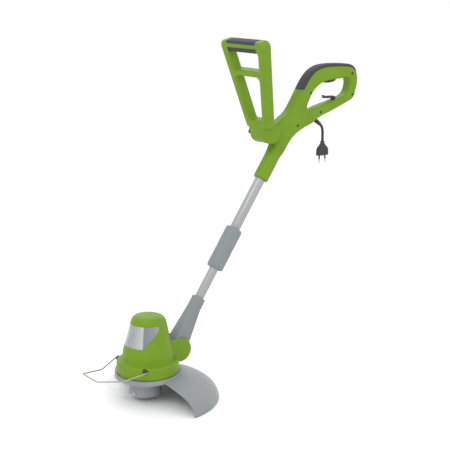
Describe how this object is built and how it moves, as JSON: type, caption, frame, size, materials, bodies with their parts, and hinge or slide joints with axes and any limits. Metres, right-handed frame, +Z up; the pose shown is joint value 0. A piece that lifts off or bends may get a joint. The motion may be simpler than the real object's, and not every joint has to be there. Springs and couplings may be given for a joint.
{
  "type": "string trimmer",
  "caption": "Corded electric string trimmer with a telescopic shaft, tilting motor head, rear guard, wire edge guide, loop handle with trigger and a tilting front handle.",
  "frame": {"origin": "middle of the rear hand grip, above the trigger", "axes": "+Z up, -X forward towards the cutting head, +Y to the right of the user; the object is symmetric about Y = 0 apart from its fastenings"},
  "size_m": [0.7674, 0.3274, 0.7875],
  "materials": {
    "green_plastic": "satin moulded plastic",
    "grey_plastic": "matt moulded plastic",
    "dark_plastic": "matt moulded plastic",
    "soft_grip": "soft overmoulded rubber, fine grain",
    "tube_metal": "drawn tube with a satin lacquer",
    "silver_trim": "silver metallic paint",
    "steel": "bright zinc-plated steel",
    "copper": "enamelled copper winding on a steel core",
    "brass": "plain turned brass",
    "cord_rubber": "matt PVC sheath",
    "nylon": "clear nylon monofilament"
  },
  "bodies": {
    "handle": {"handle_shell_left": "green_plastic", "handle_shell_right": "green_plastic", "grip_cover": "soft_grip", "handle_screws": "steel", "micro_switch": "dark_plastic", "trigger_pin": "steel", "trigger_spring": "steel", "cable_hook": "dark_plastic", "strain_relief": "soft_grip", "supply_cord": "cord_rubber", "plug_body": "dark_plastic", "plug_pins": "steel", "handle_cable": "cord_rubber", "upper_tube": "tube_metal", "clamp_body": "dark_plastic"},
    "trigger": {"trigger": "dark_plastic"},
    "front_handle": {"front_handle_frame": "green_plastic", "front_grip_upper": "soft_grip", "front_grip_lower": "soft_grip", "front_handle_bolt": "steel"},
    "front_knob": {"front_handle_knob": "dark_plastic", "knob_insert_nut": "brass"},
    "collar": {"clamp_collar": "grey_plastic"},
    "lower_shaft": {"lower_tube": "tube_metal", "tube_glider": "dark_plastic", "coiled_cable": "cord_rubber", "tilt_bracket": "grey_plastic", "bracket_screw": "steel"},
    "head": {"head_shell_left": "green_plastic", "head_shell_right": "green_plastic", "silver_band": "silver_trim", "head_screws": "steel", "tilt_pin": "steel", "tilt_button_spring": "steel", "motor_plate": "dark_plastic", "motor_frame": "dark_plastic", "stator": "copper", "carbon_brushes": "dark_plastic", "bearings": "steel", "guard": "grey_plastic", "guard_screws": "steel", "line_cutter": "steel", "cutter_screws": "steel", "guide_bushes": "dark_plastic"},
    "tilt_button": {"tilt_button": "dark_plastic"},
    "edge_guide": {"edge_guide": "steel"},
    "rotor": {"motor_shaft": "steel", "armature": "copper", "commutator": "copper", "cooling_fan": "dark_plastic", "spool_carrier": "grey_plastic", "carrier_nut": "steel", "spool_cup": "grey_plastic", "line_eyelet": "steel", "cutting_line": "nylon", "spool_spring": "steel"},
    "spool": {"line_spool": "dark_plastic", "line_winding": "nylon", "bump_knob": "dark_plastic"}
  },
  "joints": [
    {"name": "trigger_squeeze", "type": "hinge", "parent": "handle", "child": "trigger", "pos_m": [-0.033, 0, -0.012], "axis": [0, -1, 0], "range_deg": [0, 6], "stiffness_Nm_per_rad": 1.2, "springref_deg": -6.88, "deforming": ["trigger_spring"]},
    {"name": "front_handle_tilt", "type": "hinge", "parent": "handle", "child": "front_handle", "pos_m": [-0.202, 0, -0.131], "axis": [0, -1, 0], "range_deg": [-12, 45]},
    {"name": "front_knob_turn", "type": "hinge", "parent": "front_handle", "child": "front_knob", "pos_m": [-0.202, 0, -0.131], "axis": [0, 1, 0], "range_deg": [0, 270]},
    {"name": "collar_twist", "type": "hinge", "parent": "handle", "child": "collar", "pos_m": [-0.35053, 0, -0.43224], "axis": [0.5736, 0, 0.8192], "range_deg": [0, 60]},
    {"name": "shaft_extend", "type": "slide", "parent": "handle", "child": "lower_shaft", "axis": [-0.5736, 0, -0.8192], "range_m": [0, 0.15]},
    {"name": "head_tilt", "type": "hinge", "parent": "lower_shaft", "child": "head", "pos_m": [-0.462, 0, -0.6], "axis": [0, -1, 0], "range_deg": [0, 45]},
    {"name": "tilt_button_press", "type": "slide", "parent": "head", "child": "tilt_button", "axis": [0, -1, 0], "range_m": [0, 0.003], "stiffness_N_per_m": 900, "springref_m": -0.003, "deforming": ["tilt_button_spring"]},
    {"name": "guide_fold", "type": "hinge", "parent": "head", "child": "edge_guide", "pos_m": [-0.58, 0, -0.6155], "axis": [0, 1, 0], "range_deg": [0, 75]},
    {"name": "spool_spin", "type": "hinge", "parent": "head", "child": "rotor", "pos_m": [-0.545, 0, -0.648], "axis": [0, 0, 1], "continuous": true},
    {"name": "bump_feed", "type": "slide", "parent": "rotor", "child": "spool", "axis": [0, 0, 1], "range_m": [0, 0.004], "stiffness_N_per_m": 1200, "springref_m": -0.004, "deforming": ["spool_spring"]}
  ]
}
